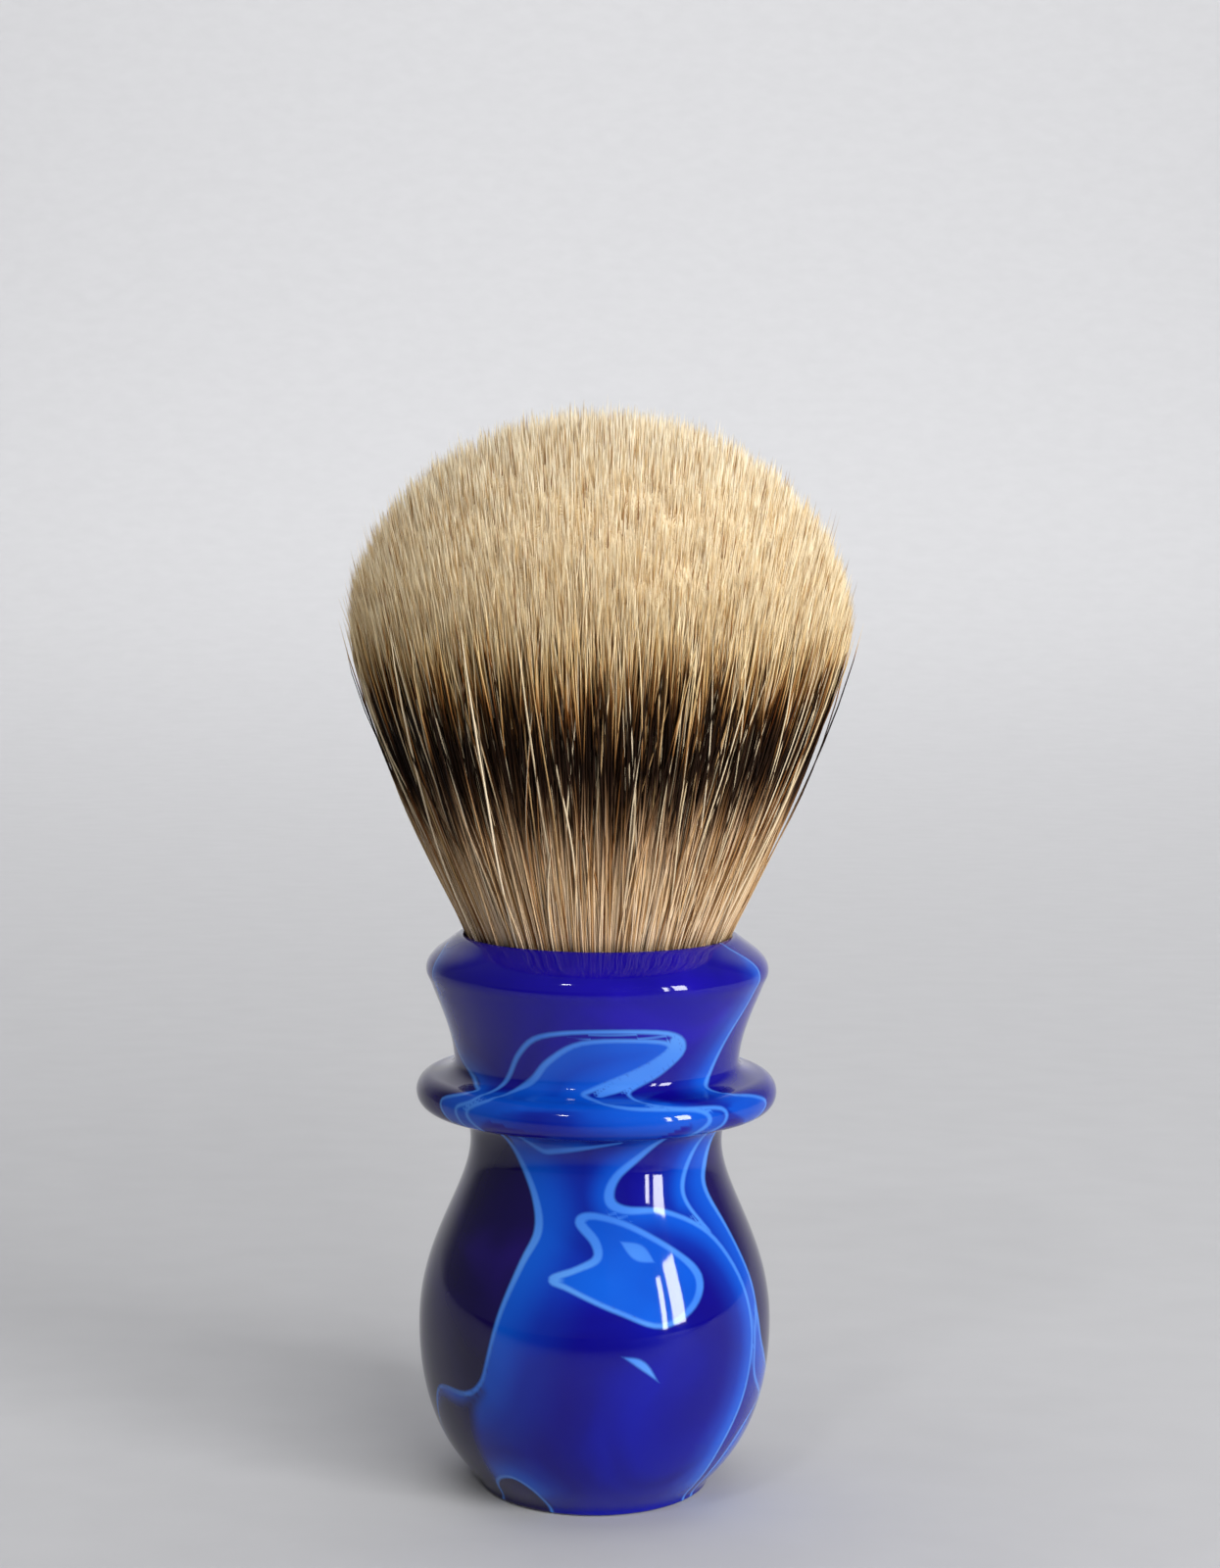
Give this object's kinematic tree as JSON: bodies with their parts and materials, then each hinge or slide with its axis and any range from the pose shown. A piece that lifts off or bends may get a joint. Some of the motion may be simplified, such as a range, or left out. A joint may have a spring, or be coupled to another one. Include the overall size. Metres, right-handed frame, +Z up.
{
  "type": "shaving brush",
  "caption": "Shaving brush with a turned, marbled resin handle (bulb, ring and flared collar) and a domed knot of banded badger hair.",
  "frame": {"origin": "centre of the foot, on the surface that the brush stands on", "axes": "+Z up the turning axis, from the foot to the hair tips; -Y is the front"},
  "size_m": [0.0496, 0.0496, 0.108],
  "materials": {
    "marbled_resin": "cast resin, turned and buffed to a high gloss, blue with light veins",
    "clear_adhesive": "cured adhesive",
    "plug_resin": "cast resin, unpolished",
    "waxed_thread": "waxed, wound in turns that touch",
    "badger_hair": "natural hair, cream tips over a near-black band and a tan shaft"
  },
  "bodies": {
    "handle_set": {"handle": "marbled_resin", "setting_epoxy": "clear_adhesive", "knot_plug": "plug_resin", "binding_thread": "waxed_thread", "hair_roots": "badger_hair"},
    "hair_lower": {"hair_bend": "badger_hair"},
    "hair_upper": {"hair_tuft": "badger_hair"}
  },
  "joints": [
    {"name": "flex_front_back", "type": "hinge", "parent": "handle_set", "child": "hair_lower", "pos_m": [0, 0, 0.061], "axis": [1, 0, 0], "range_deg": [-20, 20], "stiffness_Nm_per_rad": 0.45, "deforming": ["hair_bend"]},
    {"name": "flex_side", "type": "hinge", "parent": "hair_lower", "child": "hair_upper", "pos_m": [0, 0, 0.074], "axis": [0, 1, 0], "range_deg": [-20, 20], "stiffness_Nm_per_rad": 0.45, "deforming": ["hair_bend"]}
  ]
}
